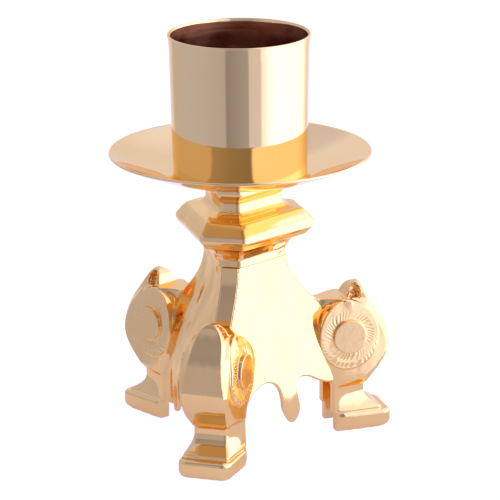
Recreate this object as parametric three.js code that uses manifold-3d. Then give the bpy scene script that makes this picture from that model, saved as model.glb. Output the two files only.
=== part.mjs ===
// Altar candlestick. A spun cup and drip pan stand on a cast collar, over a three-sided hollow base
// brazed together from three side panels and three scroll legs. One tie rod clamps the whole stack.
// Millimetres, +Z up, origin on the candlestick's axis in the plane that the feet stand on.
// A leg is drawn with its radius along +X, and a side panel with its outward normal along +X.
import * as THREE from 'three';
import { mergeVertices } from 'three/addons/utils/BufferGeometryUtils.js';
import Module from 'manifold-3d';

const wasm = await Module();
wasm.setup();

// ---- driving dimensions ----
const GAP = 0.3;                     // braze and assembly clearance between neighbours
const TOTAL_HEIGHT = 180;
const ROUND_STEPS = 48;              // facets round the cup and the pan
const WALL = 2.1;                    // cast wall of the base

const BODY_TOP = 81;                 // joint between the base and the collar
const COLLAR_TOP = 118.3;            // seat of the drip pan
const PAN_THICKNESS = 1.2;
const PAN_FLOOR = COLLAR_TOP + PAN_THICKNESS;
const PAN_RIM_RADIUS = 56.6;
const PAN_RIM_HEIGHT = 128.6;
const CUP_FOOT_RADIUS = 28.9;
const CUP_RIM_RADIUS = 30.7;
const CUP_WALL = 1.2;
const CUP_FLOOR_THICKNESS = 3;

const ROD_RADIUS = 3.9;              // M8 threaded rod
const ROD_HOLE_RADIUS = 4.5;
const ROD_BOTTOM = 62;
const BRIDGE_TOP = 78;
const BRIDGE_THICKNESS = 3;
const WASHER_RADIUS = 8;
const WASHER_THICKNESS = 1.6;
const LOCK_WASHER_RADIUS = 7.2;
const LOCK_WASHER_THICKNESS = 2;
const NUT_ACROSS_FLATS = 13;
const NUT_HEIGHT = 6.5;

const STRIP_HALF_WIDTH = 3.6;        // narrow corner face of the base, above each leg
const LEG_HALF_WIDTH = 12;
const NECK_HALF_WIDTH = 8;           // back of the leg, between the side panels and the scroll
const NECK_BEVEL = { across: 3, along: 1.5 };
const SCROLL_BEVEL = 3.1;            // softened edge between the leg's front and its sides
const FOOT_CORE_HALF_WIDTH = 6.4;    // the hollow inside a foot and ankle
const FOOT_CORE_OUTER = 56.5;
const BOSS_CENTRE = new THREE.Vector2(45.4, 43.8);   // radius and height of the scroll's eye
const RIM_RING = { width: 13.7, height: 15.2, face: 13.3 };
const EYE_DISC = { width: 7.5, height: 7.5, face: 15 };

const COLLAR_CORE = { radius: 9, height: 32 };       // the hollow up the middle of the collar

const LEG_AZIMUTHS = { leg_front: -90, leg_right: 30, leg_left: 150 };
// The front leg's scroll and foot sit slightly turned about the eye, and pulled in to match.
const LEG_TWISTS = { leg_front: { degrees: -3.5, inward: 0.62 } };
const SQUARE = { degrees: 0, inward: 0 };
const PANEL_AZIMUTHS = { side_panel_front_right: -30, side_panel_back: 90, side_panel_front_left: 210 };
const APRON_SHIFTS = { side_panel_front_left: -6.5 };  // how far sideways this panel's apron is sawn

// Distance of a side panel's outer face from the axis, at each height: a long concave flare.
const PANEL_FLARE = new THREE.SplineCurve([
  new THREE.Vector2(12.8, BODY_TOP),
  new THREE.Vector2(13.4, 76),
  new THREE.Vector2(15.2, 69.5),
  new THREE.Vector2(18.6, 61.5),
  new THREE.Vector2(22.6, 54),
  new THREE.Vector2(26, 44),
  new THREE.Vector2(28.5, 30),
  new THREE.Vector2(29.6, 10),
]);

const gold = (hex, roughness) => new THREE.MeshStandardMaterial({ color: hex, metalness: 1, roughness });

// ---- solids ----
function toSolid(geometry) {
  const bare = geometry.clone();
  bare.deleteAttribute('normal');
  bare.deleteAttribute('uv');
  const merged = mergeVertices(bare, 1e-4);
  const corners = merged.index.array;
  const kept = [];
  for (let i = 0; i < corners.length; i += 3) {
    const [a, b, c] = [corners[i], corners[i + 1], corners[i + 2]];
    if (a !== b && b !== c && c !== a) kept.push(a, b, c);
  }
  const vertProperties = Float32Array.from(merged.attributes.position.array);
  return new wasm.Manifold(new wasm.Mesh({ numProp: 3, vertProperties, triVerts: Uint32Array.from(kept) }));
}

function toGeometry(solid) {
  const mesh = solid.getMesh();
  const geometry = new THREE.BufferGeometry();
  geometry.setAttribute('position', new THREE.BufferAttribute(mesh.vertProperties, 3));
  geometry.setIndex(new THREE.BufferAttribute(mesh.triVerts, 1));
  geometry.computeVertexNormals();
  return geometry;
}

// A skin over closed rings of equal length, stacked upward and capped at both ends.
function loft(rings) {
  const count = rings[0].length;
  const positions = rings.flat().flatMap((p) => [p.x, p.y, p.z]);
  const index = [];
  for (let level = 0; level < rings.length - 1; level += 1) {
    for (let i = 0; i < count; i += 1) {
      const low = level * count + i;
      const lowNext = level * count + ((i + 1) % count);
      index.push(low, lowNext, lowNext + count, low, lowNext + count, low + count);
    }
  }
  const top = (rings.length - 1) * count;
  for (let i = 1; i < count - 1; i += 1) {
    index.push(0, i + 1, i, top, top + i, top + i + 1);
  }
  const geometry = new THREE.BufferGeometry();
  geometry.setAttribute('position', new THREE.Float32BufferAttribute(positions, 3));
  geometry.setIndex(index);
  return geometry;
}

// A shape drawn in radius and height, thickened both ways across the leg or panel.
function sidewaysPlate(shape, thickness, bevel = {}, curveSegments = 8) {
  const edge = { bevelEnabled: false, ...bevel };
  const plate = new THREE.ExtrudeGeometry(shape, { depth: thickness, curveSegments, ...edge });
  plate.translate(0, 0, -thickness / 2);
  return plate.rotateX(Math.PI / 2);
}

// A shape drawn in plan, standing from one height to another.
function uprightPrism(shape, bottom, height, curveSegments = 12) {
  const prism = new THREE.ExtrudeGeometry(shape, { depth: height, curveSegments, bevelEnabled: false });
  return prism.translate(0, 0, bottom);
}

function disc(radius) {
  return new THREE.Shape().absarc(0, 0, radius, 0, 2 * Math.PI, false);
}

function withRodHole(shape, radius = ROD_HOLE_RADIUS) {
  shape.holes.push(new THREE.Path().absarc(0, 0, radius, 0, 2 * Math.PI, true));
  return shape;
}

// ---- the cup, its floor and the pan, all turned on the axis ----
function cupSleeve() {
  const lip = CUP_RIM_RADIUS;
  const outside = [[CUP_FOOT_RADIUS, PAN_FLOOR], [29.4, 141], [30, 170], [30.2, 175], [lip - 0.15, 178.6]];
  const inside = outside.map(([r, z]) => [r - CUP_WALL, z]).reverse();
  const rim = [[lip, TOTAL_HEIGHT - 0.4], [lip - 0.3, TOTAL_HEIGHT], [lip - 0.9, TOTAL_HEIGHT]];
  const profile = [...outside, ...rim, ...inside, outside[0]];
  return new THREE.LatheGeometry(profile.map(([r, z]) => new THREE.Vector2(r, z)), ROUND_STEPS)
    .rotateX(Math.PI / 2);
}

function cupFloor() {
  const floor = withRodHole(disc(CUP_FOOT_RADIUS - CUP_WALL - GAP), ROD_RADIUS + GAP);
  return uprightPrism(floor, PAN_FLOOR, CUP_FLOOR_THICKNESS, 32);
}

function dripPan() {
  const dish = new THREE.SplineCurve([
    new THREE.Vector2(30.5, PAN_FLOOR),
    new THREE.Vector2(36, PAN_FLOOR + 1.2),
    new THREE.Vector2(45, PAN_FLOOR + 4.5),
    new THREE.Vector2(PAN_RIM_RADIUS - 0.6, PAN_RIM_HEIGHT),
  ]).getPoints(6);
  const upper = [new THREE.Vector2(ROD_HOLE_RADIUS, PAN_FLOOR), ...dish];
  const lower = upper.map((p) => new THREE.Vector2(p.x, p.y - PAN_THICKNESS));
  const rim = [
    new THREE.Vector2(PAN_RIM_RADIUS, PAN_RIM_HEIGHT - PAN_THICKNESS + 0.3),
    new THREE.Vector2(PAN_RIM_RADIUS, PAN_RIM_HEIGHT - 0.3),
  ];
  return new THREE.LatheGeometry([...lower, ...rim, ...upper.reverse(), lower[0]], ROUND_STEPS)
    .rotateX(Math.PI / 2);
}

// ---- the collar: a mitred moulding round a triangle with cut corners ----
function cutTriangle(z, corner, halfWidth) {
  const ring = [];
  for (const azimuth of Object.values(LEG_AZIMUTHS)) {
    for (const side of [-halfWidth, halfWidth]) {
      const point = new THREE.Vector3(corner, side, z);
      ring.push(point.applyAxisAngle(new THREE.Vector3(0, 0, 1), THREE.MathUtils.degToRad(azimuth)));
    }
  }
  return ring;
}

const COLLAR_NECK = { corner: 17.7, halfWidth: 4.1 };
const COLLAR_MOULDING = [             // height, distance of the narrow corner face from the axis
  [BODY_TOP, 18.9], [84, 18.9], [86, 19.7], [88, 20.9], [89.6, 22.8], [90.6, 24.8], [91.2, 27],
  [92.6, 28.4], [94.4, 30], [96, 30.6], [97.4, 30.3], [99.2, 28.9], [101.4, 27], [102.6, 25.4],
  [103, 22.2], [103.8, 20], [105.2, 18.2], [107, 17.7], [109.5, 17.9], [112, 19.2], [114.5, 20],
  [COLLAR_TOP, 20.3],
];

function collar() {
  const spread = 0.45;                // the mitres open a little slower than the faces move out
  const rings = COLLAR_MOULDING.map(([z, corner]) =>
    cutTriangle(z, corner, COLLAR_NECK.halfWidth + spread * (corner - COLLAR_NECK.corner)));
  const core = uprightPrism(disc(COLLAR_CORE.radius), BODY_TOP - 1, COLLAR_CORE.height + 1);
  const rodHole = uprightPrism(disc(ROD_HOLE_RADIUS), BODY_TOP, COLLAR_TOP);
  return toGeometry(toSolid(loft(rings)).subtract(toSolid(core)).subtract(toSolid(rodHole)));
}

// ---- the base ----
// A rounded four-sided ring in plan, wider towards the axis where the two half widths differ.
function footRing([z, inner, outer, innerHalf, outerHalf, radius]) {
  const steps = 3;
  const corners = [
    [outer, outerHalf, 0], [inner, innerHalf, 90], [inner, -innerHalf, 180], [outer, -outerHalf, 270],
  ];
  return corners.flatMap(([x, y, start]) => Array.from({ length: steps + 1 }, (_, i) => {
    const angle = THREE.MathUtils.degToRad(start + (90 * i) / steps);
    const centreX = x - Math.sign(x - (inner + outer) / 2) * radius;
    const centreY = y - Math.sign(y) * radius;
    return new THREE.Vector3(centreX + radius * Math.cos(angle), centreY + radius * Math.sin(angle), z);
  }));
}

// Each row: height, inner radius, outer radius, half widths at the inside and outside, corner radius.
const FOOT_RINGS = [
  [0, 41.2, 64, 11.4, 11.4, 2], [0.6, 40.2, 65, 12.4, 12.4, 2.5], [1.8, 39.7, 65.5, 12.9, 12.9, 3],
  [7.4, 39.7, 65.5, 12.9, 12.9, 3], [8.5, 39.7, 64.2, 12.2, 11.9, 2.5], [8.7, 39.6, 61.2, 11.6, 10.4, 2],
  [10, 39.4, 60.3, 11.4, 9.8, 2], [11, 39, 57, 11.3, 8.6, 1.5], [13.6, 38.6, 54.5, 11.3, 7.5, 1.2],
  [17.5, 38.3, 53.7, 11.3, 7.3, 1], [21, 38, 54.4, 11.3, 7.7, 1], [24, 37.5, 56.4, 11.3, 8.5, 1],
];
const EAR_RINGS = [
  [52, 45, 59.9, 11.5, 8.5, 1.2], [55, 45.2, 57.8, 11, 7.4, 1.2], [59, 45.8, 55.2, 7.6, 5.6, 1],
  [62, 47.6, 53.5, 4.8, 3.8, 0.8], [64.4, 49.6, 52.9, 2.6, 2.2, 0.6], [65.4, 51.2, 52.6, 0.9, 0.8, 0.3],
];

// The scroll seen from the side: a drop shape that hangs from the ear and tapers into the ankle.
function scrollOutline() {
  const back = RIM_RING.width + 1;
  const outline = new THREE.Shape();
  outline.moveTo(46, 59.6);
  outline.lineTo(55.4, 59);
  outline.splineThru([
    new THREE.Vector2(61, 51.8), new THREE.Vector2(63.7, 46), new THREE.Vector2(64.4, 39.4),
    new THREE.Vector2(63.4, 34.8), new THREE.Vector2(60.8, 30.3), new THREE.Vector2(56.4, 23.4),
    new THREE.Vector2(54.4, 20.5),
  ]);
  outline.lineTo(38.5, 20.5);
  outline.splineThru([
    new THREE.Vector2(34.6, 27), new THREE.Vector2(31.6, 35.5), new THREE.Vector2(BOSS_CENTRE.x - back, 44),
    new THREE.Vector2(32.4, 51.4), new THREE.Vector2(38, 57.5),
  ]);
  return outline;
}

function scroll() {
  const bevel = {
    bevelEnabled: true, bevelThickness: SCROLL_BEVEL, bevelSize: SCROLL_BEVEL,
    bevelOffset: -SCROLL_BEVEL, bevelSegments: 2,
  };
  return sidewaysPlate(scrollOutline(), 2 * (LEG_HALF_WIDTH - SCROLL_BEVEL), bevel, 4);
}

// The crowned saddle between the corner strip and the ear, and the root of the leg below it.
function neckOutline() {
  const outline = new THREE.Shape();
  outline.moveTo(34, 59);
  outline.quadraticCurveTo(40.5, 60.2, 47, 59);
  outline.lineTo(47, 30);
  outline.lineTo(33, 32);
  outline.lineTo(29, 44);
  outline.lineTo(29, 56);
  return outline;
}

function neck() {
  const { across, along } = NECK_BEVEL;
  const bevel = {
    bevelEnabled: true, bevelThickness: across, bevelSize: along, bevelOffset: -along, bevelSegments: 2,
  };
  return sidewaysPlate(neckOutline(), 2 * (NECK_HALF_WIDTH - across), bevel, 4);
}

function boss({ width, height, face }) {
  const oval = new THREE.Shape().absellipse(BOSS_CENTRE.x, BOSS_CENTRE.y, width, height, 0, 2 * Math.PI);
  return sidewaysPlate(oval, 2 * face, {}, 14);
}

// Turns part of a leg about the upright line through the scroll's eye.
function twisted(geometry, { degrees, inward }) {
  geometry.translate(-BOSS_CENTRE.x, 0, 0);
  geometry.rotateZ(THREE.MathUtils.degToRad(degrees));
  return geometry.translate(BOSS_CENTRE.x - inward, 0, 0);
}

// The back of the leg grown on every side by the clearance that the panels keep to it.
function legClearance(twist) {
  const bevel = { bevelEnabled: true, bevelThickness: GAP, bevelSize: GAP, bevelSegments: 1 };
  const { width, height, face } = RIM_RING;
  return [
    sidewaysPlate(neckOutline(), 2 * NECK_HALF_WIDTH, bevel, 4),
    twisted(sidewaysPlate(scrollOutline(), 2 * LEG_HALF_WIDTH, bevel, 4), twist),
    twisted(boss({ width: width + GAP, height: height + GAP, face: face + GAP }), twist),
  ];
}

// The narrow corner face that sweeps from the collar down on to the top of the leg.
function cornerStrip() {
  const sweep = PANEL_FLARE.getPoints(24).filter((p) => p.y >= 58.5)
    .map((p) => new THREE.Vector2(2 * (p.x - STRIP_HALF_WIDTH * Math.sin(Math.PI / 3)), p.y));
  const back = sweep.map((p) => new THREE.Vector2(p.x - WALL, p.y - 0.6 * WALL)).slice(1).reverse();
  const topInside = new THREE.Vector2(sweep[0].x - WALL, BODY_TOP);
  return sidewaysPlate(new THREE.Shape([...sweep, new THREE.Vector2(38, 56), ...back, topInside]),
    2 * STRIP_HALF_WIDTH);
}

// The core that leaves the foot and ankle hollow, open underneath and towards the axis.
function footCore() {
  const core = new THREE.Shape();
  core.moveTo(30, -1);
  core.lineTo(FOOT_CORE_OUTER, -1);
  core.lineTo(FOOT_CORE_OUTER, 5);
  core.lineTo(50, 10);
  core.quadraticCurveTo(48, 12, 48, 17);
  core.quadraticCurveTo(48, 30, 38, 31);
  core.lineTo(30, 31);
  return sidewaysPlate(core, 2 * FOOT_CORE_HALF_WIDTH, {}, 4);
}

function leg(twist) {
  const casting = [
    boss(RIM_RING), boss(EYE_DISC), loft(FOOT_RINGS.map(footRing)), loft(EAR_RINGS.map(footRing)), scroll(),
  ];
  const pieces = [neck(), ...casting.map((piece) => twisted(piece, twist))];
  const solid = pieces.reduce((sum, piece) => sum.add(toSolid(piece)), toSolid(cornerStrip()));
  return toGeometry(solid.subtract(toSolid(twisted(footCore(), twist))));
}

// The lower edge of a side: two uneven arches either side of a pendant drop, then upright edges.
function apronOutline() {
  const shoulder = 60;
  const outline = new THREE.Shape();
  outline.moveTo(-shoulder, 22);
  outline.lineTo(-34, 22);
  outline.bezierCurveTo(-26, 22.5, -22, 32, -14.6, 32.2);
  outline.bezierCurveTo(-9, 32.3, -4.7, 30, -4.7, 23);
  outline.bezierCurveTo(-4.7, 17, -2.4, 11.2, 1.2, 11.2);
  outline.bezierCurveTo(4.6, 11.2, 6.5, 15, 6.4, 18.4);
  outline.bezierCurveTo(6.3, 22, 4.7, 23, 4.7, 25.8);
  outline.bezierCurveTo(4.7, 28.8, 6.4, 30.2, 9.2, 30);
  outline.bezierCurveTo(15, 29.6, 20, 24, 29, 23);
  outline.lineTo(shoulder, 22);
  outline.lineTo(shoulder, BODY_TOP);
  outline.lineTo(-shoulder, BODY_TOP);
  return outline;
}

function sidePanel(name) {
  const outer = PANEL_FLARE.getPoints(24);
  const inner = outer.map((p) => new THREE.Vector2(p.x - WALL, p.y)).reverse();
  const skin = toSolid(sidewaysPlate(new THREE.Shape([...outer, ...inner]), 120));

  const outline = new THREE.ExtrudeGeometry(apronOutline(), { depth: 60, curveSegments: 6, bevelEnabled: false });
  const across = new THREE.Matrix4().makeBasis(
    new THREE.Vector3(0, 1, 0), new THREE.Vector3(0, 0, 1), new THREE.Vector3(1, 0, 0));
  outline.applyMatrix4(across);
  outline.translate(0, APRON_SHIFTS[name] ?? 0, 0);

  // In plan, the third of the base that lies between two corner strips.
  const reach = 60;
  const apex = (STRIP_HALF_WIDTH + GAP) / Math.sin(Math.PI / 3);
  const spread = reach * Math.tan(Math.PI / 3);
  const third = new THREE.Shape([
    new THREE.Vector2(apex, 0), new THREE.Vector2(apex + reach, -spread), new THREE.Vector2(apex + reach, spread),
  ]);
  let panel = skin.intersect(toSolid(outline)).intersect(toSolid(uprightPrism(third, 0, BODY_TOP + 1)));
  for (const side of [-60, 60]) {
    const direction = (PANEL_AZIMUTHS[name] + side) % 360;
    const neighbour = Object.keys(LEG_AZIMUTHS).find((key) => (LEG_AZIMUTHS[key] - direction) % 360 === 0);
    for (const clearance of legClearance(LEG_TWISTS[neighbour] ?? SQUARE)) {
      panel = panel.subtract(toSolid(clearance.rotateZ(THREE.MathUtils.degToRad(side))));
    }
  }
  return toGeometry(panel);
}

// ---- the clamping stack inside ----
function bridgePlate() {
  const outline = cutTriangle(0, 17.2, 2.3).map((p) => new THREE.Vector2(p.x, p.y));
  return uprightPrism(withRodHole(new THREE.Shape(outline)), BRIDGE_TOP - BRIDGE_THICKNESS, BRIDGE_THICKNESS);
}

const WASHER_BOTTOM = BRIDGE_TOP - BRIDGE_THICKNESS - WASHER_THICKNESS;
const LOCK_WASHER_BOTTOM = WASHER_BOTTOM - LOCK_WASHER_THICKNESS;
const NUT_BOTTOM = LOCK_WASHER_BOTTOM - NUT_HEIGHT;

function flatWasher() {
  return uprightPrism(withRodHole(disc(WASHER_RADIUS)), WASHER_BOTTOM, WASHER_THICKNESS);
}

// A spring washer is a ring with one slit through it.
function lockWasher() {
  const halfSlit = 0.12;              // radians
  const ring = new THREE.Shape();
  ring.absarc(0, 0, LOCK_WASHER_RADIUS, halfSlit, 2 * Math.PI - halfSlit, false);
  ring.absarc(0, 0, ROD_HOLE_RADIUS, 2 * Math.PI - halfSlit, halfSlit, true);
  return uprightPrism(ring, LOCK_WASHER_BOTTOM, LOCK_WASHER_THICKNESS);
}

function hexNut() {
  const corner = NUT_ACROSS_FLATS / 2 / Math.cos(Math.PI / 6);
  const hexagon = Array.from({ length: 6 }, (_, i) =>
    new THREE.Vector2(corner * Math.cos((i * Math.PI) / 3), corner * Math.sin((i * Math.PI) / 3)));
  return uprightPrism(withRodHole(new THREE.Shape(hexagon), ROD_RADIUS + 0.15), NUT_BOTTOM, NUT_HEIGHT);
}

function tieRod() {
  return uprightPrism(disc(ROD_RADIUS), ROD_BOTTOM, PAN_FLOOR + CUP_FLOOR_THICKNESS - ROD_BOTTOM);
}

// ---- assembly ----
const candlestick = new THREE.Group();

function addPiece(name, geometry, material, azimuth = 0) {
  const mesh = new THREE.Mesh(geometry, material);
  mesh.name = name;
  mesh.rotation.z = THREE.MathUtils.degToRad(azimuth);
  candlestick.add(mesh);
}

const polishedGold = gold(0xe8c9a0, 0.06);
const castGold = gold(0xe9c79b, 0.12);
const plainSteel = gold(0xb9b6b0, 0.35);

addPiece('cup_sleeve', cupSleeve(), polishedGold.clone());
addPiece('cup_floor', cupFloor(), gold(0x7a3c1c, 0.5));
addPiece('drip_pan', dripPan(), polishedGold.clone());
addPiece('collar', collar(), castGold.clone());
for (const [name, azimuth] of Object.entries(PANEL_AZIMUTHS)) {
  addPiece(name, sidePanel(name), castGold.clone(), azimuth);
}
for (const [name, azimuth] of Object.entries(LEG_AZIMUTHS)) {
  addPiece(name, leg(LEG_TWISTS[name] ?? SQUARE), castGold.clone(), azimuth);
}
addPiece('bridge_plate', bridgePlate(), gold(0xb8924f, 0.4));
addPiece('tie_rod', tieRod(), plainSteel.clone());
addPiece('flat_washer', flatWasher(), plainSteel.clone());
addPiece('lock_washer', lockWasher(), plainSteel.clone());
addPiece('hex_nut', hexNut(), plainSteel.clone());

export default candlestick;
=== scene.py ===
"""Altar candlestick: the finished surfaces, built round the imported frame.

The shape functions work in millimetres, and each mesh becomes metres when it is made. +Z is up,
the candlestick's axis is the Z axis, and the feet stand on z = 0. A leg is drawn with its radius
along +X and a side panel with its outward normal along +X; each is then turned to its azimuth.
"""
import math

import bpy
import numpy as np
from mathutils import Matrix, Vector

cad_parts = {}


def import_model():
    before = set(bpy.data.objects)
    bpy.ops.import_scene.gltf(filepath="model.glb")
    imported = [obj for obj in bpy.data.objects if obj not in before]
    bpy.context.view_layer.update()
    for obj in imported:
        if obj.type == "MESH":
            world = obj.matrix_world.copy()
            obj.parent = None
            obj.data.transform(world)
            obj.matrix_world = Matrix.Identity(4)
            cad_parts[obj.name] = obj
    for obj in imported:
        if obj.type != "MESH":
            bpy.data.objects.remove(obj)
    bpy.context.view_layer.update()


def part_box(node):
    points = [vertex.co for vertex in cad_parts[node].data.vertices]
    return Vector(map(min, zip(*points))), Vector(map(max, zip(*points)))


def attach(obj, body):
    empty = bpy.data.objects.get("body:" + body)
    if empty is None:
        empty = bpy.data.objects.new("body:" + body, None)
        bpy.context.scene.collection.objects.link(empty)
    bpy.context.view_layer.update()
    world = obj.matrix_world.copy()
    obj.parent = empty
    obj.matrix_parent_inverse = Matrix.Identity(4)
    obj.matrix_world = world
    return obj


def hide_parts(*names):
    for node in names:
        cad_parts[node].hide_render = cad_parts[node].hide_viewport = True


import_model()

MM = 0.001
ROOT_3 = math.sqrt(3)


# ---- sizes read from the frame, in millimetres ----
def span(node):
    low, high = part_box(node)
    return np.array(low) / MM, np.array(high) / MM


BODY_TOP = span("collar")[0][2]
COLLAR_TOP = span("collar")[1][2]
PAN_RADIUS = span("drip_pan")[1][0]
PAN_RIM = span("drip_pan")[1][2]
CUP_FOOT = span("cup_sleeve")[0][2]
CUP_TOP = span("cup_sleeve")[1][2]
CUP_RADIUS = span("cup_sleeve")[1][0]
FLOOR_RADIUS = span("cup_floor")[1][0]
FLOOR_TOP = span("cup_floor")[1][2]
FOOT_FRONT = -span("leg_front")[0][1]
ROD_BOTTOM, ROD_TOP = span("tie_rod")[0][2], span("tie_rod")[1][2]
ROD_RADIUS = span("tie_rod")[1][0]

# ---- sizes repeated from the part's source, in millimetres ----
WALL = 2.1
SHEET = 1.2                          # metal of the cup and the pan
STRIP_HALF = 3.6                     # half width of the corner strip above each leg
EYE = (45.4, 43.8)                   # radius and height of the scroll's eye
RING = (13.7, 15.2, 13.3)            # half width, half height and face of the oval ring
DISC = (7.5, 15)                     # radius and face of the disc in its middle
ROD_HOLE = 4.5
LEG_AZIMUTHS = {"leg_front": -90, "leg_right": 30, "leg_left": 150}
LEG_TWISTS = {"leg_front": (-3.5, 0.62)}           # degrees about the eye, and how far inward
APRON_SHIFTS = {"side_panel_front_left": -6.5}     # how far sideways the apron is sawn
PANEL_AZIMUTHS = {"side_panel_front_right": -30, "side_panel_back": 90, "side_panel_front_left": 210}


# ---- curves and outlines ----
def spline(points, steps=8):
    """A smooth curve through every point, as a dense list of points."""
    given = np.array(points, float)
    padded = np.vstack([2 * given[0] - given[1], given, 2 * given[-1] - given[-2]])
    t = np.linspace(0, 1, steps, endpoint=False)[:, None]
    runs = []
    for a, b, c, d in zip(padded, padded[1:], padded[2:], padded[3:]):
        slope, bend, twist = c - a, 2 * a - 5 * b + 4 * c - d, 3 * (b - c) + d - a
        runs.append(b + 0.5 * t * (slope + t * (bend + t * twist)))
    return np.vstack(runs + [given[-1:]])


def fillet(corners, steps=6):
    """A closed outline from (a, b, radius) corners, each rounded with an arc."""
    loop = []
    for i, (a, b, radius) in enumerate(corners):
        corner = np.array((a, b), float)
        before = np.array(corners[i - 1][:2]) - corner
        after = np.array(corners[(i + 1) % len(corners)][:2]) - corner
        reach_limit = 0.49 * min(np.linalg.norm(before), np.linalg.norm(after))
        before /= np.linalg.norm(before)
        after /= np.linalg.norm(after)
        half = 0.5 * math.acos(np.clip(before @ after, -1, 1))
        if radius == 0 or half > 1.56:
            loop.append(corner)
            continue
        reach = min(radius / math.tan(half), reach_limit)
        middle = before + after
        centre = corner + middle / np.linalg.norm(middle) * reach / math.cos(half)
        start, end = corner + before * reach - centre, corner + after * reach - centre
        sweep = math.pi - 2 * half
        for t in np.linspace(0, 1, steps + 1):
            blend = math.sin((1 - t) * sweep) * start + math.sin(t * sweep) * end
            loop.append(centre + blend / math.sin(sweep))
    return np.array(loop)


# Distance of a side panel's outer face from the axis, at each height: a long concave flare.
FLARE = spline([
    (12.8, BODY_TOP), (13.4, 76), (15.2, 69.5), (18.6, 61.5), (22.6, 54), (26, 44), (28.5, 30), (29.6, 10),
], 24)[::-1]


def flare(z):
    return np.interp(z, FLARE[:, 1], FLARE[:, 0])


def flare_slope(z):
    return (flare(z + 0.5) - flare(z - 0.5))


# ---- solids as signed distances, negative inside ----
def smoothstep(low, high, x):
    t = np.clip((x - low) / (high - low), 0, 1)
    return t * t * (3 - 2 * t)


def mix(a, b, t):
    return a + (b - a) * t


def join(a, b, radius):
    """Either solid, with a fillet of that radius where they meet."""
    u, v = np.maximum(radius - a, 0), np.maximum(radius - b, 0)
    return np.maximum(radius, np.minimum(a, b)) - np.sqrt(u * u + v * v)


def common(a, b, radius):
    """What two solids share, with its edge rounded to that radius."""
    u, v = np.maximum(radius + a, 0), np.maximum(radius + b, 0)
    return np.minimum(-radius, np.maximum(a, b)) + np.sqrt(u * u + v * v)


def bevelled(a, b, width):
    """What two solids share, with its edge cut back by that width on both faces."""
    return np.maximum(np.maximum(a, b), (a + b + width) * math.sqrt(0.5))


def ellipse(x, z, a, b):
    scaled = np.sqrt((x / a) ** 2 + (z / b) ** 2)
    slope = np.sqrt((x / a ** 2) ** 2 + (z / b ** 2) ** 2)
    return scaled * (scaled - 1) / np.maximum(slope, 1e-6)


def outline_solid(outline, margin=6, pitch=0.25, softening=2):
    """The signed distance to a closed outline, looked up on a softened grid."""
    low = outline.min(0) - margin
    high = outline.max(0) + margin
    x, z = [np.arange(a, b, pitch) for a, b in zip(low, high)]
    x, z = x[:, None], z[None, :]
    nearest = np.full((x.size, z.size), np.inf)
    inside = np.zeros(nearest.shape, bool)
    for (ax, az), (bx, bz) in zip(outline, np.roll(outline, -1, axis=0)):
        ex, ez = bx - ax, bz - az
        length = ex * ex + ez * ez
        if length < 1e-12:
            continue
        t = np.clip(((x - ax) * ex + (z - az) * ez) / length, 0, 1)
        nearest = np.minimum(nearest, (x - ax - ex * t) ** 2 + (z - az - ez * t) ** 2)
        if az != bz:
            inside ^= ((az > z) != (bz > z)) & (x < ax + ex * (z - az) / ez)
    grid = np.where(inside, -1, 1) * np.sqrt(nearest)
    for _ in range(softening):
        padded = np.pad(grid, 1, mode="reflect", reflect_type="odd")
        grid = (padded[:-2] + 2 * padded[1:-1] + padded[2:]) / 4
        grid = (grid[:, :-2] + 2 * grid[:, 1:-1] + grid[:, 2:]) / 4

    def distance(px, pz):
        u = np.clip((px - low[0]) / pitch, 0, grid.shape[0] - 1.001)
        v = np.clip((pz - low[1]) / pitch, 0, grid.shape[1] - 1.001)
        i, j = u.astype(int), v.astype(int)
        s, t = u - i, v - j
        near = grid[i, j] * (1 - s) + grid[i + 1, j] * s
        far = grid[i, j + 1] * (1 - s) + grid[i + 1, j + 1] * s
        return near * (1 - t) + far * t
    return distance


def ripple(x, y, z, sizes, seed, waves=7):
    """A smooth wandering value of about -1 to 1, for the uneven skin of a casting."""
    random = np.random.default_rng(seed)
    total = 0
    for _ in range(waves):
        direction = random.normal(size=3)
        direction *= 2 * math.pi / np.linalg.norm(direction) / np.array(sizes)
        phase = random.uniform(0, 2 * math.pi)
        total = total + np.sin(direction[0] * x + direction[1] * y + direction[2] * z + phase)
    return total / math.sqrt(2 * waves)


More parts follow.
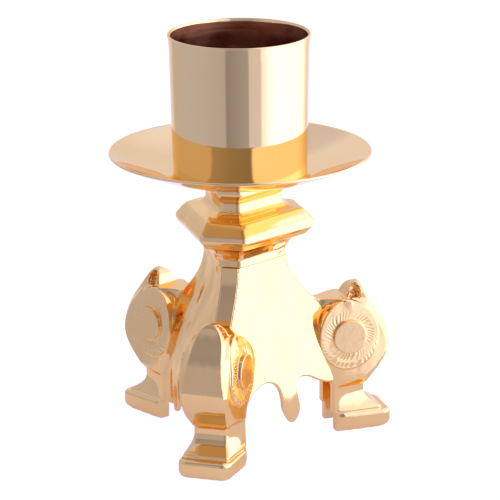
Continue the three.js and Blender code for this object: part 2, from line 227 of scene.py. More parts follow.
def skin(solid, low, high, step, rounds=3):
    """The surface of a solid as vertices, four-sided faces and vertex normals, by surface nets."""
    axes = [np.arange(a - 2 * step, b + 3 * step, step) for a, b in zip(low, high)]
    grid = solid(*np.meshgrid(*axes, indexing="ij", sparse=True))
    grid = np.broadcast_to(grid, [len(a) for a in axes])
    inside = grid < 0
    keys, points, quads = [], [], []
    for axis in range(3):
        u, v = (axis + 1) % 3, (axis + 2) % 3
        unit = np.eye(3, dtype=int)[axis]
        last = np.array(grid.shape) - unit
        first = inside[:last[0], :last[1], :last[2]]
        second = inside[unit[0]:, unit[1]:, unit[2]:]
        edge = np.argwhere(first != second)
        a, b = grid[tuple(edge.T)], grid[tuple((edge + unit).T)]
        crossing = edge + unit * (a / (a - b))[:, None]
        ring = []
        for du, dv in ((0, 0), (1, 0), (1, 1), (0, 1)):
            cell = edge.copy()
            cell[:, u] -= du
            cell[:, v] -= dv
            ring.append(np.ravel_multi_index(cell.T, grid.shape))
            keys.append(ring[-1])
            points.append(crossing)
        quad = np.stack(ring, 1)
        quad[a >= 0] = quad[a >= 0][:, ::-1]
        quads.append(quad)
    keys, points = np.concatenate(keys), np.concatenate(points)
    cells, index = np.unique(keys, return_inverse=True)
    count = np.bincount(index)
    centre = np.stack([np.bincount(index, points[:, k]) / count for k in range(3)], 1)
    faces = np.searchsorted(cells, np.concatenate(quads))
    vertices = np.array([a[0] for a in axes]) + centre * step

    def slope(at):
        reach = 0.45 * step
        parts = []
        for k in range(3):
            ahead, behind = at.copy(), at.copy()
            ahead[:, k] += reach
            behind[:, k] -= reach
            parts.append((solid(*ahead.T) - solid(*behind.T)) / (2 * reach))
        return np.stack(parts, 1)

    for _ in range(rounds):
        gradient = slope(vertices)
        value = solid(*vertices.T)
        size = np.maximum((gradient ** 2).sum(1), 0.05)
        move = gradient * (value / size)[:, None]
        length = np.linalg.norm(move, axis=1, keepdims=True)
        vertices = vertices - move * np.minimum(1, 0.6 * step / np.maximum(length, 1e-9))
    gradient = slope(vertices)
    normals = gradient / np.maximum(np.linalg.norm(gradient, axis=1, keepdims=True), 1e-9)
    return vertices, faces, normals


# ---- the leg ----
SCROLL = outline_solid(np.vstack([
    spline([(55.4, 59), (58.4, 55.4), (61, 51.8), (63.6, 46), (64.5, 39.8), (63.6, 34.8), (60.6, 28.9),
            (56.8, 23.6), (54.2, 20.5)]),
    spline([(38.5, 20.5), (34.6, 27), (31.6, 35.5), (30.7, 44), (32.4, 51.4), (38, 57.5), (46, 59.4)]),
]))
EAR = outline_solid(np.vstack([
    spline([(52.6, 65.9), (53.7, 64.1), (54.8, 61.6), (57.2, 57.2), (59.5, 53.4)]),
    [(44.5, 53.4)],
    spline([(45.4, 58.8), (46.4, 61.3), (47.6, 63.5), (49.2, 65.1), (50.9, 65.9)]),
]))
NECK = outline_solid(np.vstack([
    spline([(33.5, 59.1), (37, 59.5), (40.5, 59.7), (44, 59.6), (48, 59.1)]),
    [(48, 30), (33, 32), (29, 44), (29, 56)],
]))
NECK_BACK = 29                       # radius where the root of the neck ends
SADDLE_BACK, SADDLE_FRONT = 33.5, 46
SADDLE_HALF = 9
SADDLE_TOP = 59.5
CORE_HALF, CORE_OUTER, CORE_TOP = 6.4, 56.5, 30     # the hollow in the foot and ankle
BLOCK_HALF, BLOCK_BACK, BLOCK_TOP = 12.85, 39.7, 8.3
POCKET_FLOOR = 1.9                   # half thickness of the metal left between an ear's two pockets
CHASING_DEPTH = 0.22
CHASING_MARKS = 38                   # tool marks in a full turn


# Half width of the leg's front face, height: a waist into the ankle, then a tall pointed arch.
FRONT_FACE = spline([(7.2, 17), (7.9, 23), (9.5, 33), (8.9, 40), (8.1, 45.5), (7.4, 51), (6.7, 55),
                     (5.7, 59.5), (4.6, 62), (2.9, 64.4), (0.4, 66)])


def front_half(z):
    return np.interp(z, FRONT_FACE[:, 1], FRONT_FACE[:, 0])


def narrowing(x, slope=0.0038):
    """How much of its width the scroll keeps, as its sides draw in towards the front."""
    return 1 - slope * np.maximum(x - 29.1, 0)


def side_half(x, z):
    """Half width of the scroll's sides: rounded off at the back, where it grows out of the panels."""
    back = 12.7 * np.sqrt(np.clip(1 - ((z - 37) / 20.5) ** 2, 0.02, 1))
    middle = 12.3 * narrowing(x) - 0.014 * np.maximum(z - 44, 0) ** 2
    return mix(back, middle, smoothstep(31, 42, x))


def ring_face(x, z):
    return RING[2] * narrowing(x) - 0.016 * np.maximum(z - 44, 0) ** 2


def chasing(x, z):
    """Short radial tool marks round the disc and along the foot of the ring, of uneven depth."""
    dx, dz = x - EYE[0], z - EYE[1]
    radius, angle = np.hypot(dx, dz), np.arctan2(dz, dx)
    wander = 3.1 * np.sin(2 * angle) + 1.7 * np.sin(7 * angle) + 2 * radius
    marks = np.maximum(0, np.sin(CHASING_MARKS * angle + wander))
    inner = smoothstep(7.9, 8.6, radius) * smoothstep(11.6, 9.6, radius)
    inner = inner * (0.5 + 0.5 * np.sin(3 * angle + 0.4))
    outer = smoothstep(12.2, 12.9, radius) * smoothstep(14.6, 13.8, radius)
    outer = outer * smoothstep(0.2, -0.6, np.sin(angle))
    return CHASING_DEPTH * marks * (inner + 0.6 * outer)


def foot(x, side, z):
    """The block with soft edges, a thin slab on it, and the ankle that curves out on to the slab."""
    rise = np.clip((z - 10) / 7.5, 0, 1)
    hollow = (1 - rise) ** 2.2
    block_half = BLOCK_HALF - 0.05 * (x - BLOCK_BACK - 0.3)
    block = common(common(x - FOOT_FRONT + 0.06, BLOCK_BACK - x, 3), side - block_half, 4.2)
    block = common(common(block, -z, 3.4), z - BLOCK_TOP, 2)
    slab = common(common(x - 61.2, 39.5 - x, 2), side - mix(11.6, 10.4, smoothstep(40, 61, x)), 2)
    slab = common(slab, z - 9.8, 0.6)
    outer, outer_half = 53.7 + 6.6 * hollow, 7.3 + 2.7 * hollow
    outer = outer + 2.4 * smoothstep(19, 25, z)
    taper = mix(11.3, outer_half, (x - 38.3) / (outer - 38.3))
    ankle = common(common(x - outer, 38.3 - x, 1.2), (side - taper) * 0.95, 1.4)
    ankle = common(common(ankle, z - 26, 1), 8 - z, 0.5)
    return join(join(block, slab, 0.35), ankle, 0.35)


def foot_core(x, side, z):
    """The hollow that the casting's core leaves, open underneath and towards the axis."""
    outer = CORE_OUTER - 8.4 * smoothstep(4, 13, z)
    return common(common(x - outer, side - CORE_HALF, 1.5), z - CORE_TOP + 0.4 * (x - 38), 1.5)


def corner_strip(x, side, z):
    """The narrow corner face of the base, which sweeps down on to the top of the leg."""
    face = 2 * (flare(z) - STRIP_HALF * ROOT_3 / 2)
    lean = np.sqrt(1 + (2 * flare_slope(z)) ** 2)
    sheet = np.abs((x - face) / lean + WALL / 2) - WALL / 2
    sheet = common(sheet, side - STRIP_HALF, 0.3)
    return common(common(sheet, z - BODY_TOP, 0.3), 56 - z, 0.5)


def leg_solid(x, y, z, twist, inward):
    """A leg; the twist in degrees turns its scroll and foot about the eye, as brazed on by hand."""
    strip = corner_strip(x, np.abs(y), z)
    saddle = mix(STRIP_HALF, SADDLE_HALF, smoothstep(SADDLE_BACK, SADDLE_FRONT, x) ** 0.8)
    neck = common(NECK(x, z), np.abs(y) - saddle - 0.25 * np.clip(SADDLE_TOP - z, 0, 8), 0.7)
    angle = math.radians(twist)
    across, along = x - EYE[0], y
    x = EYE[0] + (across + inward) * math.cos(angle) + along * math.sin(angle)
    y = along * math.cos(angle) - (across + inward) * math.sin(angle)
    side = np.abs(y)
    uneven = 0.07 * ripple(x, y, z, (14, 14, 18), 4) + 0.015 * ripple(x, y, z, (4, 4, 5), 5)
    half = side_half(x, z)
    edge = mix(0.8, np.maximum(half - front_half(z), 0.8), smoothstep(40, 55, x))
    body = bevelled(SCROLL(x, z), side - half, edge)
    ear = common(EAR(x, z), side - front_half(z) - 0.6, 0.9)
    pocket = np.maximum(ellipse(x - 50 - 0.15 * (z - 61), z - 60.8, 2.2, 4.2), POCKET_FLOOR - side)
    rough = 0.3 * ripple(x, y, z, (1.8, 1.8, 1.8), 8)
    ear = common(ear, -pocket + rough * (pocket < 0.8), 0.3)
    leg = join(join(body, neck, 0.8), ear, 0.7)
    ring_outline = ellipse(x - EYE[0], z - EYE[1], RING[0], RING[1])
    ring = common(ring_outline, side - ring_face(x, z) + chasing(x, z), 0.45)
    disc_face = (DISC[1] - 0.7) * narrowing(x, 0.0018)
    disc = common(np.hypot(x - EYE[0], z - EYE[1]) - DISC[0], side - disc_face, 0.3)
    leg = join(leg + uneven, ring + uneven, 0.4)
    leg = join(leg, disc, 0.25)
    leg = join(leg, foot(x, side, z) + 0.7 * uneven, 0.9)
    leg = join(leg, strip, 1.2)
    leg = common(leg, -foot_core(x, side, z), 0.5)
    return np.maximum(leg, -z)


# ---- the side panel ----
APRON = outline_solid(np.vstack([     # two uneven arches either side of a pendant drop
    spline([(-34, 22), (-29.3, 22.9), (-24.6, 27), (-20.1, 30.3), (-14.8, 32.2), (-9.9, 31.2), (-6.4, 28),
            (-4.8, 23), (-4.3, 18.6), (-2.4, 14.6), (-0.6, 12.1), (1.2, 11.2), (3.6, 11.9), (5.7, 14.3),
            (6.4, 18), (5.5, 21.6), (4.8, 25), (5, 28), (6.7, 29.8), (9.2, 30), (13.4, 28.8), (18.6, 26),
            (23.6, 23.9), (29, 23), (34, 22.6)]),
    [(60, 22.3), (60, BODY_TOP + 8), (-60, BODY_TOP + 8), (-60, 21.8)],
]))


def panel_solid(x, y, z, shift):
    side = np.abs(y)
    uneven = 0.10 * ripple(x, y, z, (60, 11, 34), 21) + 0.03 * ripple(x, y, z, (9, 6, 9), 22)
    lean = np.sqrt(1 + flare_slope(z) ** 2)
    sheet = np.abs((x - flare(z)) / lean + WALL / 2 + uneven) - WALL / 2
    apex = STRIP_HALF / (ROOT_3 / 2)
    mitre = (side - (x - apex) * ROOT_3) / 2
    panel = common(sheet, APRON(y - shift, z), 0.8)
    panel = common(panel, mitre + 0.02, 0.2)
    return common(panel, z - BODY_TOP, 0.3)


# ---- the collar ----
MOULDING = spline([                  # distance of the narrow corner face from the axis, height
    (18.9, BODY_TOP), (18.9, 84), (19.7, 86), (20.9, 88), (22.8, 89.6), (24.8, 90.6), (27, 91.2),
    (28.4, 92.6), (30, 94.4), (30.6, 96), (30.3, 97.4), (28.9, 99.2), (27, 101.4), (25.4, 102.6),
    (22.2, 103), (20, 103.8), (18.2, 105.2), (17.7, 107), (17.9, 109.5), (19.2, 112), (20, 114.5),
    (20.3, COLLAR_TOP),
], 6)
PROFILE = outline_solid(np.vstack([MOULDING, [(-8, COLLAR_TOP), (-8, BODY_TOP)]]), softening=1)


def soft_maximum(a, b, width):
    """The larger of two values, with the change from one to the other eased over that width."""
    return np.maximum(a, b) + np.maximum(width - np.abs(a - b), 0) ** 2 / (4 * width)


def near(x, y, z, azimuth, distance, sideways, height):
    """How far points are from a place given by azimuth, distance from the axis, sidestep and height."""
    angle = math.radians(azimuth)
    place_x = distance * math.cos(angle) - sideways * math.sin(angle)
    place_y = distance * math.sin(angle) + sideways * math.cos(angle)
    return np.sqrt((x - place_x) ** 2 + (y - place_y) ** 2 + (z - height) ** 2)


def collar_solid(x, y, z):
    reach = np.full(np.broadcast(x, y).shape, -100.0)
    for azimuth in LEG_AZIMUTHS.values():
        angle = math.radians(azimuth)
        reach = soft_maximum(reach, x * math.cos(angle) + y * math.sin(angle), 1.6)
        angle += math.pi / 3
        # The face between two corners, as the corner distance that it belongs to.
        reach = soft_maximum(reach, (x * math.cos(angle) + y * math.sin(angle) + 3.35) / 0.89, 1.6)
    uneven = 0.06 * ripple(x, y, z, (14, 14, 18), 31) + 0.012 * ripple(x, y, z, (4, 4, 4), 32)
    braze = near(x, y, z, -30, 15.6, 9, 86.4)
    uneven = uneven + 0.55 * ripple(x, y, z, (3.4, 3.4, 2.2), 33) * smoothstep(5.2, 2.4, braze)
    bead = near(x, y, z, 210, 13.6, 7.4, 84.3)
    uneven = uneven - 0.5 * smoothstep(1.6, 0.7, bead) + 0.35 * smoothstep(0.8, 0.3, bead)
    uneven = uneven + 0.4 * smoothstep(0.7, 0.25, near(x, y, z, -90, 17.8, 0.6, 105.4))
    solid = PROFILE(reach, z) + uneven
    radius = np.hypot(x, y)
    core = np.maximum(radius - 9, z - 113)
    hole = radius - ROD_HOLE
    solid = np.maximum(solid, -np.minimum(core, hole))
    return np.maximum(np.maximum(solid, z - COLLAR_TOP), BODY_TOP - z)


# ---- making the meshes ----
def add_mesh(name, vertices, faces, node, materials, turn=0, normals=None, crease=None):
    """One piece: a mesh turned to its azimuth, in metres, which stands for a CAD node."""
    angle = math.radians(turn)
    cosine, sine = math.cos(angle), math.sin(angle)
    spin = np.array([[cosine, -sine, 0], [sine, cosine, 0], [0, 0, 1]])
    placed = np.asarray(vertices, float) @ spin.T * MM
    mesh = bpy.data.meshes.new(name)
    corners = faces if isinstance(faces, list) else faces.tolist()
    mesh.from_pydata(placed.tolist(), [], corners)
    mesh.shade_smooth()
    if crease is not None:
        mesh.set_sharp_from_angle(angle=math.radians(crease))
    if normals is not None:
        mesh.normals_split_custom_set_from_vertices((normals @ spin.T).tolist())
    for material in materials:
        mesh.materials.append(material)
    piece = bpy.data.objects.new(name, mesh)
    bpy.context.scene.collection.objects.link(piece)
    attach(piece, "root")
    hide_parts(node)
    return piece


def turned(profile, steps=288):
    """Vertices and faces of a closed (radius, height) profile turned round the axis."""
    profile = np.asarray(profile, float)
    angle = np.arange(steps) * 2 * math.pi / steps
    radius, z = profile[:, 0][:, None], profile[:, 1][:, None]
    vertices = np.stack([radius * np.cos(angle), radius * np.sin(angle), z + 0 * angle], -1).reshape(-1, 3)
    row, column = np.meshgrid(np.arange(len(profile)), np.arange(steps), indexing="ij")
    below, after = (row + 1) % len(profile), (column + 1) % steps
    row, below = row * steps, below * steps
    faces = np.stack([row + column, row + after, below + after, below + column], -1)
    return vertices, faces.reshape(-1, 4)


# ---- materials ----
EDGE_TINT = (1, 0.86, 0.62)          # what the metals reflect at a grazing angle


def new_material(name, colour, roughness, metallic=1):
    material = bpy.data.materials.new(name)
    material.use_nodes = True
    tree = material.node_tree
    shader = tree.nodes["Principled BSDF"]
    shader.inputs["Base Color"].default_value = (*colour, 1)
    shader.inputs["Metallic"].default_value = metallic
    shader.inputs["Roughness"].default_value = roughness
    shader.inputs["Specular Tint"].default_value = (*EDGE_TINT, 1)
    return material, tree, shader


def noise(tree, scale, detail=3, stretch=(1, 1, 1)):
    """A noise texture in the object's own coordinates; scale counts features in a metre."""
    coordinates = tree.nodes.new("ShaderNodeTexCoord")
    mapping = tree.nodes.new("ShaderNodeMapping")
    mapping.inputs["Scale"].default_value = stretch
    texture = tree.nodes.new("ShaderNodeTexNoise")
    texture.inputs["Scale"].default_value = scale
    texture.inputs["Detail"].default_value = detail
    tree.links.new(coordinates.outputs["Object"], mapping.inputs["Vector"])
    tree.links.new(mapping.outputs["Vector"], texture.inputs["Vector"])
    return texture.outputs["Fac"]


def spread(tree, value, low, high, start=0.3, stop=0.7):
    """Maps a texture's value between start and stop on to low to high."""
    node = tree.nodes.new("ShaderNodeMapRange")
    node.inputs["From Min"].default_value = start
    node.inputs["From Max"].default_value = stop
    node.inputs["To Min"].default_value = low
    node.inputs["To Max"].default_value = high
    tree.links.new(value, node.inputs["Value"])
    return node.outputs["Result"]


def tint(tree, value, dark, light, start=0.3, stop=0.7):
    node = tree.nodes.new("ShaderNodeMix")
    node.data_type = "RGBA"
    node.inputs[6].default_value = (*dark, 1)
    node.inputs[7].default_value = (*light, 1)
    tree.links.new(spread(tree, value, 0, 1, start, stop), node.inputs[0])
    return node.outputs[2]


def bump(tree, shader, height, distance, strength=1):
    node = tree.nodes.new("ShaderNodeBump")
    node.inputs["Strength"].default_value = strength
    node.inputs["Distance"].default_value = distance
    tree.links.new(height, node.inputs["Height"])
    tree.links.new(node.outputs["Normal"], shader.inputs["Normal"])


GOLD = (1.0, 0.70, 0.30)
WARM_GOLD = (1.0, 0.67, 0.27)
CAST_GOLD = (1.0, 0.65, 0.25)        # cast pieces, whose plating is thinner and redder
WARM_CAST_GOLD = (1.0, 0.62, 0.22)


def polished_gold():
    """Spun sheet, polished and gold plated: a clear mirror with the faintest polishing haze."""
    material, tree, shader = new_material("polished_gold_plate", GOLD, 0.05)
    haze = noise(tree, 60, 4, (1, 1, 0.4))
    tree.links.new(spread(tree, haze, 0.03, 0.07), shader.inputs["Roughness"])
    tree.links.new(tint(tree, noise(tree, 25), WARM_GOLD, GOLD), shader.inputs["Base Color"])
    bump(tree, shader, noise(tree, 140, 2), 0.00002, 0.3)
    return material


def cast_gold():
    """Cast brass, polished and gold plated: bright, but its skin keeps small waves and pin holes."""
    material, tree, shader = new_material("cast_gold_plate", CAST_GOLD, 0.08)
    haze = noise(tree, 180, 5)
    tree.links.new(spread(tree, haze, 0.05, 0.14), shader.inputs["Roughness"])
    tree.links.new(tint(tree, noise(tree, 60), WARM_CAST_GOLD, CAST_GOLD), shader.inputs["Base Color"])
    bump(tree, shader, noise(tree, 420, 4), 0.00004, 0.5)
    return material


def bare_brass():
    """The inside of the cup: plated but never polished, brown with turning marks."""
    material, tree, shader = new_material("unpolished_brass", (0.34, 0.12, 0.05), 0.4)
    patches = noise(tree, 70, 5, (1, 1, 2))
    tree.links.new(tint(tree, patches, (0.26, 0.07, 0.025), (0.46, 0.19, 0.08)), shader.inputs["Base Color"])
    tree.links.new(spread(tree, patches, 0.3, 0.48), shader.inputs["Roughness"])
    bump(tree, shader, noise(tree, 900, 3, (0.05, 0.05, 1)), 0.0001, 0.5)
    return material


def cut_brass():
    material, tree, shader = new_material("cut_brass", (0.75, 0.52, 0.24), 0.35)
    grain = noise(tree, 300, 5, (1, 0.1, 1))
    tree.links.new(spread(tree, grain, 0.26, 0.46), shader.inputs["Roughness"])
    colour = tint(tree, noise(tree, 90), (0.62, 0.4, 0.17), (0.8, 0.58, 0.28))
    tree.links.new(colour, shader.inputs["Base Color"])
    bump(tree, shader, grain, 0.00008, 0.5)
    return material


def zinc_steel():
    material, tree, shader = new_material("zinc_plated_steel", (0.62, 0.61, 0.58), 0.3)
    spangle = noise(tree, 500, 4)
    tree.links.new(spread(tree, spangle, 0.22, 0.42), shader.inputs["Roughness"])
    colour = tint(tree, noise(tree, 150), (0.5, 0.5, 0.48), (0.68, 0.67, 0.63))
    tree.links.new(colour, shader.inputs["Base Color"])
    bump(tree, shader, spangle, 0.00003, 0.5)
    return material


MIRROR = polished_gold()
CAST = cast_gold()
BROWN = bare_brass()
BRASS = cut_brass()
ZINC = zinc_steel()


# ---- the turned pieces ----
def cup_sleeve():
    foot_radius = CUP_RADIUS - 1.8
    outside = [(foot_radius, CUP_FOOT), (foot_radius + 0.5, 141), (foot_radius + 1.1, 170),
               (CUP_RADIUS - 0.5, 175), (CUP_RADIUS - 0.12, CUP_TOP - 1.3), (CUP_RADIUS, CUP_TOP - 0.7)]
    outer = spline(outside, 6)
    lip_radius = 0.45
    lip_middle = np.array((CUP_RADIUS - lip_radius, CUP_TOP - lip_radius))
    lip = [lip_middle + (lip_radius * math.cos(a), lip_radius * math.sin(a))
           for a in np.linspace(0, math.pi, 13)]
    inner = outer[:-1][::-1] - (SHEET, 0)
    profile = np.vstack([outer[:-1], lip, inner])
    vertices, faces = turned(profile)
    piece = add_mesh("cup_sleeve_turned", vertices, faces, "cup_sleeve",
                     [MIRROR, BROWN], crease=35)
    band = CUP_TOP - 1.3
    for polygon in piece.data.polygons:
        centre = polygon.center / MM
        outwardness = polygon.normal.x * centre.x + polygon.normal.y * centre.y
        inward = outwardness < -0.5 * math.hypot(centre.x, centre.y)
        polygon.material_index = 1 if inward and centre.z < band else 0
    return piece


def cup_floor():
    bottom = CUP_FOOT
    bore = ROD_RADIUS + 0.3
    profile = fillet([(bore, bottom, 0), (FLOOR_RADIUS, bottom, 0.2), (FLOOR_RADIUS, FLOOR_TOP, 0.2),
                      (bore, FLOOR_TOP, 0.3)])
    vertices, faces = turned(profile)
    add_mesh("cup_floor_turned", vertices, faces, "cup_floor", [BROWN], crease=35)


def drip_pan():
    floor = CUP_FOOT
    dish = spline([(30.5, floor), (36, floor + 1.15), (45, floor + 4.4),
                   (PAN_RADIUS - 0.7, PAN_RIM - 0.12)], 16)
    upper = np.vstack([[(ROD_HOLE, floor)], dish])
    lower = upper - (0, SHEET)
    rim_radius = 0.5 * SHEET
    rim_middle = np.array((PAN_RADIUS - rim_radius, PAN_RIM - rim_radius - 0.02))
    rim = [rim_middle + (rim_radius * math.cos(a), rim_radius * math.sin(a))
           for a in np.linspace(-math.pi / 2, math.pi / 2, 13)]
    profile = np.vstack([lower[:-1], rim, upper[:-1][::-1]])
    vertices, faces = turned(profile)
    add_mesh("drip_pan_spun", vertices, faces, "drip_pan", [MIRROR], crease=40)


def tie_rod():
    """A threaded rod: the thread's groove runs round the rod as a helix."""
    pitch, depth, steps, per_turn = 1.25, 0.65, 48, 8
    chamfer = 0.8
    rows = int((ROD_TOP - ROD_BOTTOM) / pitch * per_turn) + 1
    z = np.linspace(ROD_BOTTOM, ROD_TOP, rows)[:, None]
    turn = np.arange(steps)[None, :] / steps
    phase = (z / pitch - turn) % 1
    groove = np.clip(1.25 - 2.5 * np.abs(phase - 0.5), 0, 1)
    end = np.minimum(z - ROD_BOTTOM, ROD_TOP - z)
    radius = np.minimum(ROD_RADIUS - depth * groove, ROD_RADIUS - chamfer + end) - 0.01
    angle = 2 * math.pi * turn
    grid = np.stack([radius * np.cos(angle), radius * np.sin(angle), z + 0 * angle], -1).reshape(-1, 3)
    vertices = np.vstack([grid, [(0, 0, ROD_BOTTOM), (0, 0, ROD_TOP)]])
    faces = []
    for row in range(rows - 1):
        for i in range(steps):
            j = (i + 1) % steps
            faces.append([row * steps + i, row * steps + j, (row + 1) * steps + j, (row + 1) * steps + i])
    top = (rows - 1) * steps
    for i in range(steps):
        j = (i + 1) % steps
        faces.append([j, i, rows * steps])
        faces.append([top + i, top + j, rows * steps + 1])
    add_mesh("tie_rod_threaded", vertices, faces, "tie_rod", [ZINC], crease=30)


def flat_washer():
    low, high = span("flat_washer")
    outer, bottom, top = high[0], low[2], high[2]
    profile = fillet([(ROD_HOLE, bottom, 0.15), (outer, bottom, 0.3), (outer, top, 0.3),
                      (ROD_HOLE, top, 0.15)])
    vertices, faces = turned(profile, 96)
    add_mesh("flat_washer_stamped", vertices, faces, "flat_washer", [ZINC], crease=35)


# ---- the cut and cast pieces ----
def add_skin(name, solid, low, high, step, node, material, turn=0):
    vertices, faces, normals = skin(solid, low, high, step)
    add_mesh(name, vertices, faces, node, [material], turn, normals)


def lock_washer():
    low, high = span("lock_washer")
    middle, half = (low[2] + high[2]) / 2, (high[2] - low[2]) / 2

    def solid(x, y, z):
        radius = np.hypot(x, y)
        ring = common(common(radius - high[0], ROD_HOLE - radius, 0.25), np.abs(z - middle) - half, 0.25)
        slit = 0.45 - np.abs(y + 0.35 * (z - middle))
        return np.maximum(ring, np.where(x > 0, slit, -1))
    add_skin("lock_washer_split", solid, low, high, 0.25, "lock_washer", ZINC)


def hex_nut():
    low, high = span("hex_nut")
    middle, half = (low[2] + high[2]) / 2, (high[2] - low[2]) / 2
    flats = high[1]

    def solid(x, y, z):
        hexagon = np.abs(y)
        for angle in (math.radians(30), math.radians(150)):
            hexagon = np.maximum(hexagon, np.abs(x * math.cos(angle) + y * math.sin(angle)))
        radius = np.hypot(x, y)
        height = np.abs(z - middle)
        cone = (radius - flats + (height - half) * 1.7 + 0.1) / 2
        nut = common(np.maximum(hexagon - flats, cone), height - half, 0.15)
        bore = np.maximum(ROD_RADIUS + 0.15 - radius, (ROD_RADIUS + 0.6 - radius + (height - half)) * 0.7)
        return np.maximum(nut, bore)
    add_skin("hex_nut_chamfered", solid, low, high, 0.22, "hex_nut", ZINC)


def bridge_plate():
    low, high = span("bridge_plate")
    middle, half = (low[2] + high[2]) / 2, (high[2] - low[2]) / 2

    def solid(x, y, z):
        plan = np.full(np.broadcast(x, y).shape, -1e3)
        for azimuth in LEG_AZIMUTHS.values():
            angle = math.radians(azimuth)
            plan = common(plan, x * math.cos(angle) + y * math.sin(angle) - 17.15, 0.5)
            angle += math.pi / 3
            plan = common(plan, x * math.cos(angle) + y * math.sin(angle) - 10.55, 0.5)
        return common(common(plan, ROD_HOLE - np.hypot(x, y), 0.2), np.abs(z - middle) - half, 0.3)
    add_skin("bridge_plate_sawn", solid, low, high, 0.35, "bridge_plate", BRASS)


def collar():
    low, high = span("collar")
    add_skin("collar_moulded", collar_solid, low, high, 0.4, "collar", CAST)


def legs():
    strip_back = 2 * (flare(BODY_TOP) - STRIP_HALF * ROOT_3 / 2) - 2 * WALL
    low = (min(NECK_BACK, strip_back), -DISC[1], 0)
    high = (FOOT_FRONT, DISC[1], BODY_TOP)
    for node, azimuth in LEG_AZIMUTHS.items():
        def solid(x, y, z, turned_by=LEG_TWISTS.get(node, (0, 0))):
            return leg_solid(x, y, z, *turned_by)
        vertices, faces, normals = skin(solid, low, high, 0.4)
        vertices[:, 2] = np.maximum(vertices[:, 2], 0)
        add_mesh(node + "_cast", vertices, faces, node, [CAST], azimuth, normals)


def panels():
    wide = flare(24) * ROOT_3
    low, high = (flare(BODY_TOP) - 2 * WALL, -wide, 11), (flare(10) + 0.5, wide, BODY_TOP)
    for node, azimuth in PANEL_AZIMUTHS.items():
        def solid(x, y, z, shift=APRON_SHIFTS.get(node, 0)):
            return panel_solid(x, y, z, shift)
        vertices, faces, normals = skin(solid, low, high, 0.4)
        add_mesh(node + "_cast", vertices, faces, node, [CAST], azimuth, normals)


cup_sleeve()
cup_floor()
drip_pan()
tie_rod()
flat_washer()
lock_washer()
hex_nut()
bridge_plate()
collar()
legs()
panels()


# ---- camera, floor and light ----
CAMERA_AZIMUTH = 14.292              # degrees; 0 looks along +Y
CAMERA_ELEVATION = 16.215
CAMERA_ROLL = -0.531
CAMERA_DISTANCE = 1.46018            # metres from the target
CAMERA_LENS = 242.29                 # millimetres, on a 36 mm sensor
TARGET_RIGHT = 0.003884              # where the camera aims: right of the axis, and up it
TARGET_UP = 0.083628


def camera():
    azimuth, elevation, roll = [math.radians(a) for a in (CAMERA_AZIMUTH, CAMERA_ELEVATION, CAMERA_ROLL)]
    back = Vector((math.sin(azimuth) * math.cos(elevation), -math.cos(azimuth) * math.cos(elevation),
                   math.sin(elevation)))
    right = Vector((math.cos(azimuth), math.sin(azimuth), 0))
    up = back.cross(right)
    level = Matrix((right, up, back)).transposed()
    tilt = Matrix.Rotation(roll, 3, "Z")
    data = bpy.data.cameras.new("camera")
    data.sensor_width = 36
    data.lens = CAMERA_LENS
    data.clip_start = 0.05
    data.clip_end = 50
    eye = bpy.data.objects.new("camera", data)
    place = right * TARGET_RIGHT + Vector((0, 0, TARGET_UP)) + back * CAMERA_DISTANCE
    eye.matrix_world = Matrix.Translation(place) @ (level @ tilt).to_4x4()
    bpy.context.scene.collection.objects.link(eye)
    bpy.context.scene.camera = eye


DAYLIGHT = (1.0, 1.08, 1.85)         # cool next to the gold
FLOOR_REACH = 0.12                   # metres; beyond it the floor is as white as the backdrop


def floor():
    angles = np.linspace(0, 2 * math.pi, 97)[:-1]
    corners = [(FLOOR_REACH * math.cos(a), FLOOR_REACH * math.sin(a), 0) for a in angles]
    mesh = bpy.data.meshes.new("floor")
    mesh.from_pydata(corners, [], [list(range(len(corners)))])
    material = bpy.data.materials.new("floor")
    material.use_nodes = True
    tree = material.node_tree
    tree.nodes.clear()
    output = tree.nodes.new("ShaderNodeOutputMaterial")
    glow = tree.nodes.new("ShaderNodeEmission")
    glow.inputs["Color"].default_value = (1, 1, 1.75, 1)
    path = tree.nodes.new("ShaderNodeLightPath")
    strength = tree.nodes.new("ShaderNodeMapRange")
    strength.inputs["To Min"].default_value = 0.5       # as the metal sees it
    strength.inputs["To Max"].default_value = 0.92      # as the camera sees it
    tree.links.new(path.outputs["Is Camera Ray"], strength.inputs["Value"])
    tree.links.new(strength.outputs["Result"], glow.inputs["Strength"])
    matt = tree.nodes.new("ShaderNodeBsdfDiffuse")
    matt.inputs["Color"].default_value = (0.3, 0.28, 0.2, 1)
    add = tree.nodes.new("ShaderNodeAddShader")
    tree.links.new(glow.outputs[0], add.inputs[0])
    tree.links.new(matt.outputs[0], add.inputs[1])
    tree.links.new(add.outputs[0], output.inputs["Surface"])
    mesh.materials.append(material)
    plane = bpy.data.objects.new("floor", mesh)
    plane.location.z = -0.0002
    bpy.context.scene.collection.objects.link(plane)


# Brightness of the studio round the candlestick, by compass direction: degrees measured as the
# camera's azimuth is, and the brightness there. One row of walls stands on the floor's horizon, one
# above it, and one hangs over them.
HORIZON = [(-180, 1.0), (-140, 0.82), (-122, 0.54), (-40, 0.5), (-10, 0.46), (-7, 0.28), (29, 0.39),
           (31, 0.66), (50, 0.69), (52, 1.05), (75, 1.8), (140, 1.8), (152, 1.2), (162, 0.85), (180, 1.0)]
WALLS = [(-180, 0.78), (-150, 0.82), (-122, 0.56), (-40, 0.5), (-10, 0.46), (-7, 0.28), (29, 0.39),
         (31, 0.66), (50, 0.69), (52, 1.05), (75, 1.8), (140, 1.8), (155, 1.2), (180, 0.78)]
HANGING = [(-180, 0.8), (-130, 0.6), (-52, 0.6), (-46, 0.38), (-8, 0.3), (38, 0.26), (44, 1.2), (150, 1.2),
           (180, 0.8)]
CEILING = 0.72
BELOW = 0.62


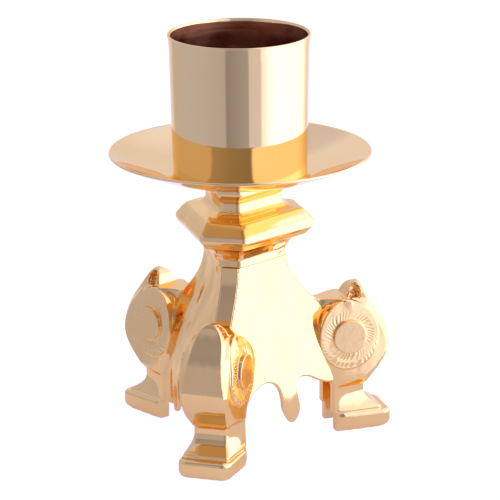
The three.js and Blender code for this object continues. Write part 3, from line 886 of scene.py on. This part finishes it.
def world():
    scene_world = bpy.data.worlds.new("studio")
    bpy.context.scene.world = scene_world
    scene_world.use_nodes = True
    tree = scene_world.node_tree
    tree.nodes.clear()

    def calculate(operation, a, b):
        made = tree.nodes.new("ShaderNodeMath")
        made.operation = operation
        for socket, value in zip(made.inputs, (a, b)):
            if isinstance(value, (int, float)):
                socket.default_value = value
            else:
                tree.links.new(value, socket)
        return made.outputs[0]

    direction = tree.nodes.new("ShaderNodeTexCoord")
    split = tree.nodes.new("ShaderNodeSeparateXYZ")
    tree.links.new(direction.outputs["Generated"], split.inputs[0])
    x, y, z = split.outputs
    azimuth = calculate("ARCTAN2", x, calculate("MULTIPLY", y, -1))
    turn = calculate("ADD", calculate("DIVIDE", azimuth, 2 * math.pi), 0.5)

    def row(stops):
        ramp = tree.nodes.new("ShaderNodeValToRGB")
        elements = ramp.color_ramp.elements
        elements[1].position = 1
        for degrees, value in stops[1:-1]:
            elements.new(degrees / 360 + 0.5)
        for element, (degrees, value) in zip(elements, stops):
            element.color = (value, value, value, 1)
        tree.links.new(turn, ramp.inputs["Fac"])
        return ramp.outputs["Color"]

    def above(lower, upper, start, stop):
        """Changes from one brightness to another as the direction's height goes from start to stop."""
        height = tree.nodes.new("ShaderNodeMapRange")
        height.inputs["From Min"].default_value = start
        height.inputs["From Max"].default_value = stop
        tree.links.new(z, height.inputs["Value"])
        blend = tree.nodes.new("ShaderNodeMix")
        blend.data_type = "FLOAT"
        tree.links.new(height.outputs["Result"], blend.inputs[0])
        for socket, value in zip(blend.inputs[2:4], (lower, upper)):
            if isinstance(value, float):
                socket.default_value = value
            else:
                tree.links.new(value, socket)
        return blend.outputs[0]

    brightness = above(BELOW, row(HORIZON), -0.85, -0.6)
    brightness = above(brightness, row(WALLS), -0.06, 0.06)
    brightness = above(brightness, row(HANGING), 0.5, 0.6)
    brightness = above(brightness, CEILING, 0.93, 0.98)
    studio = tree.nodes.new("ShaderNodeBackground")
    studio.inputs["Color"].default_value = (*DAYLIGHT, 1)
    tree.links.new(brightness, studio.inputs["Strength"])
    backdrop = tree.nodes.new("ShaderNodeBackground")
    backdrop.inputs["Color"].default_value = (1, 1, 1, 1)
    backdrop.inputs["Strength"].default_value = 1.05
    path = tree.nodes.new("ShaderNodeLightPath")
    chosen = tree.nodes.new("ShaderNodeMixShader")
    tree.links.new(path.outputs["Is Camera Ray"], chosen.inputs[0])
    tree.links.new(studio.outputs[0], chosen.inputs[1])
    tree.links.new(backdrop.outputs[0], chosen.inputs[2])
    output = tree.nodes.new("ShaderNodeOutputWorld")
    tree.links.new(chosen.outputs[0], output.inputs["Surface"])


camera()
floor()
world()
bpy.context.scene.view_settings.view_transform = "Standard"
bpy.context.scene.view_settings.look = "None"
